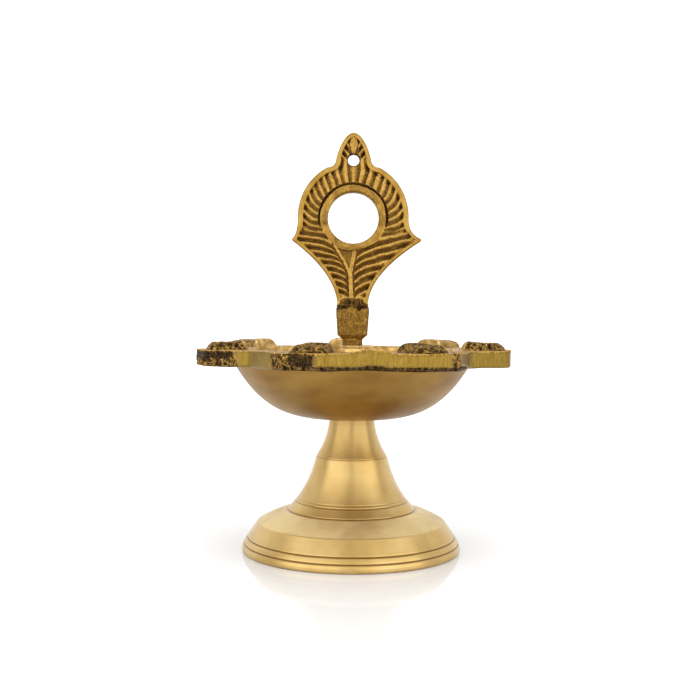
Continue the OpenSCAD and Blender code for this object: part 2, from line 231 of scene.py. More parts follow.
def foot():
    """The foot's profile spun round, each groove pressed in along its own small bell of depth. Its marks are painted
    shade in the grooves, and the duller sloping top, which is also painted paler as a sheen."""
    outside = evenly(foot_outside(), 0.16)
    painted_groove_shade = np.zeros(len(outside))
    for r, z, depth in GROOVES:
        away = np.hypot(outside[:, 0] - r, outside[:, 1] - z)
        bell = np.exp(-(away / 0.21) ** 2)
        outside[:, 0] -= depth * bell
        # Painted shade: each groove also gets a darkness mark, which the material paints dark brown.
        painted_groove_shade = np.maximum(painted_groove_shade, np.exp(-(away / 0.27) ** 2) * min(1, 0.3 + 3 * depth))
    inside_r = REST_R - FOOT_WALL
    inside = evenly(chain([[inside_r, 0], [inside_r, 3.4], [FOOT_R - RIM_LEAN - FOOT_WALL, RIM_H - FOOT_WALL],
                           [CONE_R - FOOT_WALL, CONE_Z - FOOT_WALL]],
                          bend([CONE_R - FOOT_WALL, CONE_Z - FOOT_WALL],
                               [(WAIST_R + CONE_R) / 2 - 2 - FOOT_WALL, CONE_Z - FOOT_WALL + 6],
                               [WAIST_R - FOOT_WALL, WAIST_Z - 3]),
                          [[WRENCH_R, WEB_Z], [STUD_HOLE_R, WEB_Z], [STUD_HOLE_R, STEM_TOP - GASKET_SEAT_DEPTH],
                           [GASKET_SEAT_R, STEM_TOP - GASKET_SEAT_DEPTH], [GASKET_SEAT_R, STEM_TOP]]), 1.2)
    # The sloping top is marked duller, which is real, and also painted paler, which is a painted sheen.
    matt_and_sheen = smooth(outside[:, 0], CONE_R + 0.2, CONE_R + 1) * smooth(outside[:, 1], RIM_H - 0.1, RIM_H + 0.2)
    profile = chain(outside, inside)
    painted_groove_shade = np.concatenate([painted_groove_shade, np.full(len(inside), 0.25)])
    matt_and_sheen = np.concatenate([matt_and_sheen, np.zeros(len(inside))])
    steps = 200
    points = spun(profile, steps)
    return add_piece("foot_turning", points, grid_faces(len(profile), steps, True, True), "foot", ["foot"],
                     {"painted_groove_shade": np.repeat(painted_groove_shade, steps), "matt_and_sheen": np.repeat(matt_and_sheen, steps)})


# ---------------------------------------------------------------- bowl and tray

def power_wall(r, z, h):
    """Radius and height of a bowl's wall: the height rises as the radius to a power."""
    t = np.linspace(0.02, 1, 60)
    return np.stack([r * t, z + h * t ** BOWL_POWER], 1)


def bowl_shell():
    """The turned bowl with the pillar in its middle, as one profile from the stud's hole round to the tenon's hole;
    its upper rim stays buried in the tray."""
    floor_z = STEM_TOP + BOWL_WALL
    outer = power_wall(BOWL_R, STEM_TOP, BOWL_H)
    inner = power_wall(BOWL_R - BOWL_WALL, floor_z, TRAY_Z + 0.6 - floor_z)[::-1]
    outer, inner = outer[outer[:, 0] > 3.4], inner[inner[:, 0] > 7.2]
    profile = evenly(chain([[0, STEM_TOP + 6.5], [3, STEM_TOP + 6.5], [3, STEM_TOP]], outer,
                           [[35.0, TRAY_Z + 1.2], [34.2, TRAY_Z + 3], [33.7, TRAY_Z + 2.2], [33.2, TRAY_Z + 1.2]],
                           inner, bend([7.2, floor_z], [5.6, floor_z + 0.2], [5.25, floor_z + 2.2], 6),
                           [[3.5, PILLAR_TOP - 0.3], [3.3, PILLAR_TOP], [2.3, PILLAR_TOP], [2.05, PILLAR_TOP - 0.4],
                            [2.05, TENON_Z - 0.8], [0, TENON_Z - 0.8]]), 0.6)
    steps = 200
    walk = np.arange(len(profile))
    inside = (walk > walk[np.argmax(profile[:, 0])]) * 1.0
    return add_piece("bowl_shell", spun(profile, steps), grid_faces(len(profile), steps, False, True), "bowl",
                     ["bowl"], {"inside": np.repeat(inside, steps)})


def tray_reach(a):
    """Distance from the axis to the tray's edge at angles a, in degrees: straight lines between the lobes' corners and
    the recesses, cut by each ray, then rounded off by averaging over a few degrees."""
    nxt = np.append(LOBES[1:], LOBES[0] + 360)
    corner_a = np.stack([LOBES - LOBE_HALF, LOBES + LOBE_HALF, (LOBES + nxt) / 2], 1).reshape(-1)
    tip = LOBE_R + STRETCH
    corner_r = np.stack([tip, tip, np.full(len(LOBES), RECESS_R)], 1).reshape(-1)
    ends = np.radians(np.append(corner_a, corner_a[0] + 360))
    reach = np.append(corner_r, corner_r[0])
    total = 0
    for shift, weight in ((-1.6, 1), (-0.8, 2), (0, 2), (0.8, 2), (1.6, 1)):
        ray = (np.radians(a + shift) - ends[0]) % TAU + ends[0]
        k = np.clip(np.searchsorted(ends, ray, side="right") - 1, 0, len(corner_r) - 1)
        r1, r2, a1, a2 = reach[k], reach[k + 1], ends[k], ends[k + 1]
        total = total + weight * r1 * r2 * np.sin(a2 - a1) / (r1 * np.sin(ray - a1) + r2 * np.sin(a2 - ray))
    return total / 8 - 0.2


def between(a, start, end, soft=1.6):
    """1 where the angle a, in degrees, lies between start and end, easing off over a soft border."""
    a = (a - start + 90) % 360 + start - 90
    return smooth(a, start - soft, start + soft) * (1 - smooth(a, end - soft, end + soft))


# Stretches of the edge, in degrees from the front towards +X, where the file never touched the casting's skin
SKIN_LEFT = [(-96, -51), (-30, -12), (35, 39), (108, 146), (172, 201), (226, 252)]
# Stretches where the skin carries a dark, smoother scale, and the share of the wall's height it covers from below
SCALE_LEFT = [(-80, -53, 0.42), (-21, -13, 0.25), (176, 190, 0.45), (120, 133, 0.5)]


def tray():
    """The lobed tray: a ring of cross-sections. Each runs up the mouth's wall, out over the top, down the edge and
    back underneath; the edge is roughened where its skin was left and scored upright where it was filed."""
    steps = 1240
    a = np.arange(steps) * 360 / steps
    reach = tray_reach(a)
    along = np.stack([reach * np.sin(np.radians(a)), -reach * np.cos(np.radians(a)), np.zeros(steps)], 1)
    mouth = np.array([[32.75, TRAY_Z + 0.8], [32.8, TRAY_Z + 2], [32.9, TRAY_Z + 3.4], [33.0, TRAY_TOP - 0.25],
                      [33.25, TRAY_TOP]])
    n_top, n_edge, n_under = 16, 26, 7
    t_top, t_edge, t_under = (np.linspace(0, 1, n + 1)[1:] for n in (n_top, n_edge, n_under))
    share = np.concatenate([np.full(len(mouth) + n_top, 1.0), 1 - t_edge, np.zeros(n_under)])
    cols = len(share)
    r, z = np.zeros((steps, cols)), np.zeros((steps, cols))
    r[:, :len(mouth)], z[:, :len(mouth)] = mouth[:, 0], mouth[:, 1]
    top = slice(len(mouth), len(mouth) + n_top)
    edge = slice(top.stop, top.stop + n_edge)
    under = slice(edge.stop, cols)
    z_of_top = TRAY_TOP - 0.2 + 0.35 * grain(along, 7, 3) + 0.75 * between(a, 1, 13, 3) - 0.25 * between(a, 44, 50, 4)
    z_of_under = TRAY_Z + 0.35 * grain(along, 9, 4) + 0.3 * between(a, -52, -44, 6)
    r[:, top] = mouth[-1, 0] + (reach - mouth[-1, 0])[:, None] * t_top
    z[:, top] = TRAY_TOP + (z_of_top - TRAY_TOP)[:, None] * smooth(t_top, 0.35, 1)
    round_off = 0.45 * ((1 - np.clip(t_edge / 0.09, 0, 1)) ** 2 + (1 - np.clip((1 - t_edge) / 0.13, 0, 1)) ** 2)
    r[:, edge] = reach[:, None] - round_off
    z[:, edge] = z_of_top[:, None] + (z_of_under - z_of_top)[:, None] * t_edge
    r[:, under] = (reach - 0.45)[:, None] + (33.6 - reach + 0.45)[:, None] * t_under
    z[:, under] = z_of_under[:, None] + (TRAY_Z + 0.6 - z_of_under)[:, None] * smooth(t_under, 0.2, 1)

    sin, cos = np.sin(np.radians(a))[:, None], -np.cos(np.radians(a))[:, None]
    place = np.stack([r * sin, r * cos, z], -1)
    skin = sum(between(a, *ends) for ends in SKIN_LEFT).clip(0, 1)[:, None] * np.ones(cols)
    low_skin = smooth(share - 0.2 - 0.12 * grain(place, 4, 8), 0.04, -0.04) * between(a, -14, 50, 3)[:, None]
    skin = np.maximum(skin, low_skin)
    lip = np.exp(-((share - 0.97) / 0.06) ** 2) * (0.55 + 0.9 * (grain(place, 1.3, 12) - 0.5))
    lip[:, :top.stop - 2] = 0
    skin = skin * smooth(grain(place, 2.6, 31) + 1.2 * skin, 0.45, 0.75)
    scale = sum(between(a, s, e, 1)[:, None] * smooth(share + 0.5 * (grain(place, 1.9, 9) - 0.5), h - 0.09, h + 0.09)
                * smooth(share, 1.0, 0.9) for s, e, h in SCALE_LEFT).clip(0, 1)
    scale = np.maximum(scale, 0.75 * low_skin)
    stripes = grain(np.stack([reach * np.radians(a), 0 * a, 0 * a], 1), 0.5, 5)[:, None] * np.ones(cols)
    crest = worms(place * np.array([1, 1, 0.8]), 0.72, 2)
    outward = np.zeros(cols)
    outward[edge] = 1
    outward[top] = smooth(t_top, 0.8, 1)
    push = skin * (1 - 0.45 * scale) * (0.75 * crest - 0.75) + (1 - skin) * (0.1 * stripes - 0.14) - 0.2 * scale
    r = r + (push + 0.3 * lip) * outward
    up = np.zeros(cols)
    up[top] = smooth(t_top, 0.15, 0.5)
    up[edge] = smooth(t_edge, 0.08, 0)
    rough_top = 0.5 + 0.5 * smooth(grain(place, 5, 44), 0.4, 0.6)
    z = z + up * rough_top * (0.26 * worms(place, 0.9, 6) - 0.18) + 0.12 * lip * (share > 0.9)
    under_fall = np.zeros(cols)
    under_fall[under] = smooth(t_under, 1, 0.7)
    z = z + under_fall * 0.2 * (worms(place, 1.4, 7) - 0.5)
    z = np.minimum(z, PAD_TOP)
    points = np.stack([r * sin, r * cos, z], -1)
    raw = np.zeros(cols)
    raw[top] = smooth(t_top, 0.04, 0.22)
    raw[under] = 1
    raw = np.maximum(raw, skin * outward)
    raw = np.maximum(raw, 0.85 * np.clip(lip, 0, 1) * outward)
    crest = crest + (0.45 - 0.45 * crest + 0.3 * grain(place, 3, 45)) * up * (share >= 1)
    marks = {"skin": raw, "crest": np.clip(crest * (1 - 0.35 * scale) + 0.6 * np.clip(lip, 0, 1), 0, 1),
             "scale": scale, "filed": (1 - skin) * outward}
    return add_piece("tray", points, grid_faces(steps, cols, True, True), "bowl", (), marks)


# Bearing of each pad, in degrees, how far out it reaches, how wide it is, and how rough its top was left
PADS = [(30, 44.6, 11.2, 1.0), (81.43, 46.0, 10.6, 1.0), (132.86, 44.6, 11.4, 0.45), (184.29, 44.5, 10.8, 0.4),
        (235.71, 44.6, 11.0, 0.7), (287.14, 44.4, 10.8, 1.0), (343.57, 44.8, 10.6, 1.0)]


def pads():
    """Seven cast pads. Each is a loaf: rounded trapezoid sections set one after another from the bowl's mouth
    outwards, closed by a cut that follows the mouth's cone at the inner end and falling to a point outside."""
    rows_cut, rows, cols = 6, 76, 88
    turn = np.linspace(0, TAU, cols, endpoint=False)
    side, rise = np.cos(turn), np.sin(turn)
    side = np.sign(side) * np.abs(side) ** 0.5
    rise = np.where(rise > 0, np.abs(rise) ** 0.42, -0.35)
    skins, faces, marks = [], [], {"skin": [], "crest": [], "scale": [], "filed": []}
    for k, (bearing, reach, width, rough) in enumerate(PADS):
        t = np.linspace(0, 1, rows)[:, None]
        fall = np.clip(1 - np.clip((t - 0.72) / 0.28, 0, 1) ** 2.4, 0, 1) ** 0.6
        height = (PAD_TOP - TRAY_TOP - 0.03) * fall * (0.9 + 0.1 * smooth(t, 0.5, 0.1))
        nose = 0.76 + 0.24 * np.sqrt(1 - (1 - np.clip(t / 0.13, 0, 1)) ** 2)
        height = height * nose
        taper = np.clip(1 - np.clip((t - 0.8) / 0.2, 0, 1) ** 3, 0, 1) ** 0.5
        half = width / 2 * (0.3 + 0.7 * nose) * (0.93 + 0.07 * fall) * taper
        z = TRAY_TOP + height * rise
        y = half * side * np.where(rise > 0, 1 - 0.2 * rise, 1.0)
        start = MOUTH_R + 0.1 + (z - TRAY_TOP) / 3
        x = np.sqrt(np.maximum(start ** 2 - y ** 2, 1)) * (1 - t) + reach * t
        cut = np.linspace(0, 1, rows_cut, endpoint=False)[:, None]
        z_cut = TRAY_TOP + 0.4 + (z[0] - TRAY_TOP - 0.4) * cut
        y_cut = y[0] * cut
        x_cut = np.sqrt((MOUTH_R + 0.1 + (z_cut - TRAY_TOP) / 3) ** 2 - y_cut ** 2)
        x, y, z = np.vstack([x_cut, x]), np.vstack([y_cut, y]), np.vstack([z_cut, z])
        t = np.vstack([np.zeros((rows_cut, 1)), t])
        b = math.radians(bearing)
        place = np.stack([x * math.sin(b) + y * math.cos(b), -x * math.cos(b) + y * math.sin(b), z], -1)
        fade = smooth(t, 1, 0.96)
        rough_here = rough * smooth(t, 0.06, 0.2) * smooth(rise, -0.3, 0.2) * fade * np.ones_like(x)
        crest = worms(place, 0.85, 20 + k)
        z = z - rough_here * (0.75 * (1 - crest)) * smooth(rise, 0, 0.6)
        y = y - rough_here * 0.45 * (1 - crest) * side * smooth(rise, 1, 0.5)
        z = z - 0.35 * smooth(grain(place, 4.5, 50 + k), 0.35, 0.8) * smooth(t, 0.1, 0.4) * smooth(rise, 0, 0.6) * fade
        points = np.stack([x * math.sin(b) + y * math.cos(b), -x * math.cos(b) + y * math.sin(b), z], -1)
        faces.append(grid_faces(rows + rows_cut, cols, False, True) + k * (rows + rows_cut) * cols)
        skins.append(points.reshape(-1, 3))
        raw = np.broadcast_to(smooth(t, 0.05, 0.12) * (0.25 + 0.75 * rough), x.shape)
        for field, value in (("skin", raw), ("crest", crest * (0.35 + 0.65 * rough) + 0.5 * (1 - rough)),
                             ("scale", 0 * raw), ("filed", 0 * raw)):
            marks[field].append(np.broadcast_to(value, x.shape).reshape(-1))
    return add_piece("pads", np.concatenate(skins), np.concatenate(faces), "bowl", (),
                     {field: np.concatenate(values) for field, values in marks.items()})


# ---------------------------------------------------------------- handle

def ring_point(side, up):
    """Point on the handle ring's outside, up degrees above its middle height; side is 1 for right and -1 for left."""
    return [side * RING_R * math.cos(math.radians(up)), RING_Z + RING_R * math.sin(math.radians(up))]


def handle_edge(side):
    """Outline of one half of the plate from the tip down to the post: tip, shoulder, ring, wing, leaf."""
    wing, s = WINGS[side], np.array([side, 1])
    arc = np.array([ring_point(side, up) for up in np.linspace(60, 0, 31)])
    return chain(bend([0, TIP_Z], [2.1, TIP_Z - 0.2], [4.0, HANG_Z + 4.0], 16)[:-1] * s,
                 bend([4.0, HANG_Z + 4.0], [5.0, HANG_Z + 1.6], [5.4, HANG_Z - 0.6], 10)[:-1] * s,
                 bend([5.4, HANG_Z - 0.6], [5.9, HANG_Z - 2.2], np.array(ring_point(1, 62)), 10) * s,
                 arc,
                 bend(np.array(ring_point(1, -3)), [RING_R + 0.1, WING_Z + 1.8], [wing - 0.4, WING_Z + 0.35], 12) * s,
                 [[side * wing, WING_Z]],
                 bend([wing - 0.15, WING_Z - 0.5], [POST_HALF_W + 1, POST_TOP + 9],
                      [POST_HALF_W - 0.3, POST_TOP], 50) * s,
                 [[side * (POST_HALF_W - 0.5), POST_TOP - 1.2]])


def from_edge(x, z):
    """Shortest distance from points to the plate's outline, leaving out its end inside the post."""
    spots, nearest = np.stack([x, z], -1).reshape(-1, 2), np.full(x.size, 99.0)
    for side in (1, -1):
        path = evenly(handle_edge(side)[:-1], 0.5)
        for a, b in zip(path[:-1], path[1:]):
            d = b - a
            t = np.clip(((spots - a) @ d) / (d @ d), 0, 1)
            nearest = np.minimum(nearest, np.hypot(*(spots - a - t[:, None] * d).T))
    return nearest.reshape(x.shape)


def ribbed(phase):
    """Height from 0 to 1 of a row of ribs, one per whole step of phase: a quick rise to a crest, then a slow fall."""
    t = phase - np.floor(phase)
    return smooth(t, 0.0, 0.28) * smooth(t, 1.02, 0.42)


def relief(x, z):
    """Depth of the handle's face under its raised border, in millimetres: border, ring round the finger hole, slanting
    ribs round it, a forked middle rib with curved barbs under it, and chevrons in the tip."""
    r = np.hypot(x, z - EYE_Z)
    edge = from_edge(x, z)
    turn = np.degrees(np.arctan2(x, z - EYE_Z))
    turn = np.where((r > 14.5) & (z > RING_Z + 12), np.degrees(x / 14.5), turn)
    away = np.abs(turn)
    wobble = 2.2 * (grain(np.stack([x, 0 * x, z], -1), 3.1, 60) - 0.5)
    swing = 2.6 * smooth(away, 12, 60) * (r - 12.4) + 0.35 * smooth(away, 25, 80) * (r - 12.4) ** 2
    ring_ribs = ribbed((away + swing + wobble) / np.where(x < 0, 10.2, 11.4) + 0.5)
    stem_x = np.interp(z, [76, 84, 91], [-0.4, -0.8, 0.5])
    fork_x = np.interp(z, [76, 83.6, 87.5, 92], [-0.4, -0.9, -2.6, -5.4])
    middle_x = np.where(x < stem_x, fork_x, stem_x)
    out = np.abs(x - middle_x)
    left = x < middle_x
    climb = np.where(left, 2.6 * (1 - np.exp(-out / 1.8)) + 0.1 * out, 2.6 * (1 - np.exp(-out / 2.2)) + 0.26 * out)
    climb = climb + 0.5 * (grain(np.stack([x, 0 * x, z], -1), 2.3, 65) - 0.5)
    barbs = ribbed((climb - z) / np.where(left, 2.05, 2.45))
    stem = smooth(np.abs(x - stem_x), 1.05, 0.45) * smooth(z, 75, 76.5)
    fork = smooth(np.abs(x - fork_x), 0.8, 0.35) * smooth(z, 82.5, 84)
    leaf = np.maximum.reduce([barbs * smooth(out, 0.7, 1.3), stem, fork])
    leaf = np.where((x > fork_x + 0.5) & (x < stem_x - 0.6) & (z > 84), 0.25, leaf)
    chevrons = ribbed((1.2 * np.abs(x) - z) / 2.7)
    bud = smooth(np.abs(x) + 0.3 * np.abs(z - TIP_Z + 3.4), 1.7, 1.15)
    tip = np.maximum(chevrons * smooth(np.abs(x), 0.9, 1.5), bud)
    in_leaf = smooth(z, WING_Z + 3.2, WING_Z + 1.6) * (r > EYE_R)
    in_tip = smooth(z, HANG_Z - 0.3, HANG_Z + 1.2)
    ribs = ring_ribs * (1 - in_leaf) + leaf * in_leaf
    ribs = ribs * (1 - in_tip) + tip * in_tip
    face = np.stack([x, 0 * x, z], -1)
    ribs = ribs * (0.72 + 0.5 * grain(face, 1.7, 61)).clip(0, 1)
    depth = 0.94 - 0.68 * ribs - 0.18 * (grain(face, 1.1, 62) - 0.5)
    depth = depth + 0.25 * smooth(edge, BORDER_W + 1.4, BORDER_W + 0.3) * (1 - in_leaf * 0.5) * (1 - 0.6 * ribs)
    ditch = np.exp(-((r - EYE_R - EYE_W - 0.35) / 0.38) ** 2) * smooth(away, 118, 95)
    depth = np.maximum(depth, 1.25 * ditch)
    wall = np.minimum(edge - BORDER_W + 0.45 * in_leaf + 0.35 * in_tip,
                      r - EYE_R - EYE_W + 0.1 * np.sin(np.radians(5 * turn)))
    border = smooth(wall, -0.16, 0.26)
    collar = smooth(z, POST_TOP + 1.6, POST_TOP + 0.6 + 0.8 * grain(face, 1.5, 63))
    depth = depth * border * (1 - collar)
    eye = 0.42 * np.clip((EYE_R + 0.75 - r) / 0.75, 0, 1) ** 1.6
    eye = eye + 0.14 * smooth(r - EYE_R, 1.2, 2.2) * (r < EYE_R + EYE_W)
    depth = depth + eye * (r < EYE_R + EYE_W + 0.2)
    depth = depth + 0.45 * np.clip((0.5 - edge) / 0.5, 0, 1) ** 1.8 + 0.07 * np.abs(edge - 0.9) * (edge < BORDER_W)
    hang = np.hypot(x, z - HANG_Z)
    depth = depth + 0.4 * np.clip((HANG_R + 0.4 - hang) / 0.4, 0, 1) ** 1.6
    return depth + 0.09 * (grain(face, 0.8, 64) - 0.5), border * (1 - collar)


# Distances walked along the outline from the tip, level with the hanging hole's top and bottom and the ring's top
HOLE_STOPS = (4.6, 11.6, 19.5)


def handle_plate():
    """Both halves of the plate. Rows of points run from a line down the middle (round each hole) out to the outline, on
    the front and the back, with a wall between them; the two halves are joined along the middle."""
    cols, wall = 70, 7
    all_points, all_faces, count = [], [], 0
    for side in (1, -1):
        edge = handle_edge(side)
        way = walked(edge)
        wing = way[np.argmax(np.abs(edge[:, 0]))]
        stops = [0, *HOLE_STOPS, wing, wing + 0.42 * (way[-1] - wing), way[-1]]
        drop = math.radians(110)

        def arc(z, r, a, b, n):
            """Half of a hole's rim on this side, between angles a and b from its top."""
            t = np.linspace(a, b, n)
            return np.stack([side * r * np.sin(t), z + r * np.cos(t)], 1)

        def line(a, b, n):
            """Points down the middle between heights a and b."""
            return np.stack([np.zeros(n), np.linspace(a, b, n)], 1)

        inner = [line(TIP_Z, HANG_Z + HANG_R, 35), arc(HANG_Z, HANG_R, 0, math.pi, 41),
                 line(HANG_Z - HANG_R, EYE_Z + EYE_R, 35), arc(EYE_Z, EYE_R, 0, drop, 67),
                 arc(EYE_Z, EYE_R, drop, math.pi, 45), line(EYE_Z - EYE_R, POST_TOP - 1.2, 71)]
        outer = [np.linspace(stops[k], stops[k + 1], len(run)) for k, run in enumerate(inner)]
        starts = np.cumsum([0] + [len(run) - 1 for run in inner])
        inner = np.concatenate([run[:-1] for run in inner[:-1]] + [inner[-1]])
        outer = np.concatenate([run[:-1] for run in outer[:-1]] + [outer[-1]])
        outer = np.stack([np.interp(outer, way, edge[:, 0]), np.interp(outer, way, edge[:, 1])], 1)
        rows = len(inner)
        t = np.linspace(0, 1, cols)[:, None]
        flat = inner[:, None] * (1 - t) + outer[:, None] * t
        x, z = flat[..., 0], flat[..., 1]
        depth, sunk = relief(x, z)
        y = -(PLATE_HALF_T - depth)
        y_wall = np.linspace(0, 1, wall + 2)[1:-1] * -2 * y[:, -1:] + y[:, -1:]
        x_wall, z_wall = (np.repeat(v[:, -1:], wall, 1) for v in (x, z))
        skin = np.stack([np.hstack([x, x_wall, x[:, ::-1]]), np.hstack([y, y_wall, -y[:, ::-1]]),
                         np.hstack([z, z_wall, z[:, ::-1]])], -1)
        width = skin.shape[1]
        faces = [grid_faces(rows, width)]
        for first, last in ((starts[1], starts[2]), (starts[3], starts[5])):
            hole = np.linspace(1, -1, 6)[:, None] * y[first:last + 1, 0]
            rim = np.stack([np.broadcast_to(x[first:last + 1, 0], hole.shape), hole,
                            np.broadcast_to(z[first:last + 1, 0], hole.shape)], -1)
            all_points.append(rim.reshape(-1, 3))
            all_faces.append((grid_faces(*hole.shape) + count, side))
            count += rim.shape[0] * rim.shape[1]
        bottom = (rows - 1) * width
        c = np.arange(cols - 1)
        faces.append(np.stack([bottom + c + 1, bottom + c, bottom + width - 1 - c, bottom + width - 2 - c], -1))
        last_wall = np.arange(cols - 1, cols + wall)
        cap = np.stack([bottom + last_wall + 1, bottom + last_wall], -1)
        across = 2 * bottom + width - 1 - cap
        faces.append(np.stack([cap[:4, 0], cap[:4, 1], across[:4, 1], across[:4, 0]], -1))
        all_points.append(skin.reshape(-1, 3))
        all_faces.append((np.concatenate(faces) + count, side))
        count += rows * width
    points = np.concatenate(all_points)
    faces = np.concatenate([f if side == 1 else f[:, ::-1] for f, side in all_faces])
    depth, sunk = relief(points[:, 0], points[:, 2])
    r = np.hypot(points[:, 0], points[:, 2] - EYE_Z)
    eye_tone = smooth(r, EYE_R + EYE_W + 0.2, EYE_R + EYE_W - 0.3) * (0.25 + 0.35 * grain(points, 1.6, 66))
    pit = np.clip(depth / 1.3, 0, 1) * sunk + eye_tone * (1 - sunk)
    return add_piece("handle_plate", points, faces, "handle", ["handle"],
                     {"pit": pit, "panel": np.maximum(sunk, 0.9 * eye_tone)})


def tooth(z, a, pitch):
    """Height from 0 to 1 of a right-handed thread at height z and angle a, in radians: a saw of even flanks."""
    t = (z / pitch - a / TAU) % 1
    return 1 - np.abs(2 * t - 1)


def handle_post():
    """Threaded tenon, neck and cast post as one skin: flattened rounds whose half width, half depth and squareness
    change with height, the thread cut into the lowest ones."""
    pitch = 0.7
    z = np.concatenate([np.linspace(TENON_Z, NECK_Z - 0.4, 118), np.linspace(NECK_Z - 0.35, POST_BOTTOM - 0.2, 14),
                        np.linspace(POST_BOTTOM, POST_BOTTOM + 1.1, 10), np.linspace(POST_BOTTOM + 1.25, 73, 52),
                        np.linspace(73.15, 77.4, 34)])[:, None]
    a = np.linspace(0, TAU, 150, endpoint=False)
    table = np.array([[TENON_Z, 2, 2, 2], [NECK_Z - 0.05, 2, 2, 2], [NECK_Z, NECK_R, NECK_R, 2],
                      [POST_BOTTOM - 0.2, NECK_R, NECK_R, 2], [POST_BOTTOM, 3.3, 2.7, 3],
                      [POST_BOTTOM + 1.1, 4.6, 3.1, 5],
                      [72.4, 5.12, 3.2, 5.5], [73.6, 5.1, 3.15, 5], [POST_TOP - 0.3, 4.7, 2.75, 4.5],
                      [76.4, 4.3, 2.1, 4], [77.4, 2.0, 1.0, 3]])
    half_w, half_t, square = (np.interp(z, table[:, 0], table[:, k]) for k in (1, 2, 3))
    cos, sin = np.cos(a), np.sin(a)
    reach = (np.abs(cos / half_w) ** square + np.abs(sin / half_t) ** square) ** (-1 / square)
    x, y = reach * cos, reach * sin
    place = np.stack([x, y, z + 0 * x], -1)
    cut = 0.36 * (1 - tooth(z, a, pitch)) * smooth(z, NECK_Z - 0.2, NECK_Z - 1.1)
    cut = cut + 0.3 * smooth(z, TENON_Z + 0.5, TENON_Z)
    lump = 0.06 * (worms(place, 0.9, 71) - 0.6) + 0.06 * (grain(place, 0.7, 72) - 0.7)
    lump = lump * smooth(z, NECK_Z + 0.1, NECK_Z + 0.6)
    collar = smooth(z + 1.6 * (grain(place, 2.2, 73) - 0.5), 72.9, 73.7)
    lump = lump + collar * (0.5 * worms(place, 1.7, 74) - 0.42) * smooth(z, 77.4, 76.8)
    size = 1 + np.minimum(lump - 0.05 * smooth(z, POST_BOTTOM, POST_BOTTOM + 1), 0) / half_t - cut / 2
    points = np.stack([x * size, y * size, z + 0 * x], -1)
    points[0, :, :2] = 0
    points[-1, :, :2] = 0
    rows = len(z)
    pit = np.clip(collar * (1.1 - worms(place, 1.7, 74)) * 0.45 + 0.22 * (1 - worms(place, 0.9, 71)) + 0.42, 0, 1)
    bare = smooth(z, NECK_Z + 0.2, NECK_Z) + 0 * x
    return add_piece("handle_post", points, grid_faces(rows, len(a), False, True), "handle", (),
                     {"pit": pit * (1 - bare), "panel": 0.6 * (1 - bare)})


# ---------------------------------------------------------------- fasteners

def rounded_ring(name, node, body, hole, corner=0.12, steps=160):
    """A flat ring with its four edges broken by a small round, spun from the node's own box."""
    lo, hi = low(node), high(node)
    r1, r0, z0, z1, c = hi[0], hole, lo[2], hi[2], corner
    profile = chain(bend([r0, z0 + c], [r0, z0], [r0 + c, z0], 3), bend([r1 - c, z0], [r1, z0], [r1, z0 + c], 3),
                    bend([r1, z1 - c], [r1, z1], [r1 - c, z1], 3), bend([r0 + c, z1], [r0, z1], [r0, z1 - c], 3))
    return add_piece(name, spun(profile, steps), grid_faces(len(profile), steps, True, True), body, [node],
                     {field: np.zeros(len(profile) * steps) for field in ("painted_groove_shade", "matt_and_sheen")})


def bowl_stud():
    """A rod with a right-handed thread of 1 mm pitch: its radius follows the thread's saw, and both ends are
    bevelled."""
    lo, hi = low("bowl_stud"), high("bowl_stud")
    z = np.linspace(lo[2], hi[2], 230)[:, None]
    a = np.linspace(0, TAU, 96, endpoint=False)
    bevel = 0.55 * (smooth(z, lo[2] + 0.6, lo[2]) + smooth(z, hi[2] - 0.6, hi[2]))
    r = np.maximum(hi[0] - np.maximum(0.55 * (1 - tooth(z, a, 1.0)), bevel), 0.2)
    r[0], r[-1] = 0, 0
    points = np.stack([r * np.sin(a), -r * np.cos(a), z + 0 * r], -1)
    points[[1, -2], :, 2] = points[[0, -1], :, 2]
    return add_piece("bowl_stud", points, grid_faces(len(z), len(a), False, True), "bowl", ["bowl_stud"])


def lock_nut():
    """A hexagon carried round its hole, its corners cut off by a cone at the lower face."""
    lo, hi = low("lock_nut"), high("lock_nut")
    flat = hi[1]
    a = np.linspace(0, TAU, 240, endpoint=False)
    hexagon = flat / np.cos((a + math.pi / 6) % (math.pi / 3) - math.pi / 6)
    z = lo[2] + np.concatenate([[0, 0.05], np.linspace(0.2, 1.6, 8), np.linspace(2, hi[2] - lo[2], 5)])
    cone = flat + 0.4 + (z - lo[2])
    outside = np.minimum(hexagon[None], cone[:, None])
    hole = np.full((2, len(a)), STUD_HOLE_R)
    r = np.vstack([hole + [[0.0], [0.35]], outside, hole + [[0.35], [0.0]]])
    z = np.concatenate([[lo[2] + 0.35, lo[2]], z, [hi[2], hi[2] - 0.35]])
    points = np.stack([r * np.cos(a), r * np.sin(a), z[:, None] + 0 * r], -1)
    return add_piece("lock_nut", points, grid_faces(*r.shape, True, True), "lock_nut", ["lock_nut"])


def lock_washer():
    """A square-section spring ring cut through by a slanting slit and closed at both ends."""
    lo, hi = low("lock_washer"), high("lock_washer")
    r0, r1, z0, z1, c = 3.25, hi[1], lo[2], hi[2], 0.15
    section = chain(bend([r0, z0 + c], [r0, z0], [r0 + c, z0], 2), bend([r1 - c, z0], [r1, z0], [r1, z0 + c], 2),
                    bend([r1, z1 - c], [r1, z1], [r1 - c, z1], 2), bend([r0 + c, z1], [r0, z1], [r0, z1 - c], 2))
    a = np.linspace(0, 1, 150)[:, None]
    r, z = section[:, 0], section[:, 1]
    gap, slant = 0.46 / r, (z - (z0 + z1) / 2) * -math.tan(math.radians(30)) / r
    a = gap + slant + a * (TAU - 2 * gap)
    points = np.stack([r * np.cos(a), r * np.sin(a), z + 0 * a], -1)
    ends = points[[0, -1]].mean(1, keepdims=True) + 0 * points[[0, -1]]
    points = np.concatenate([ends[:1], points, ends[1:]])
    return add_piece("lock_washer", points, grid_faces(len(points), len(r), False, True), "lock_washer",
                     ["lock_washer"])


# ---------------------------------------------------------------- finishes

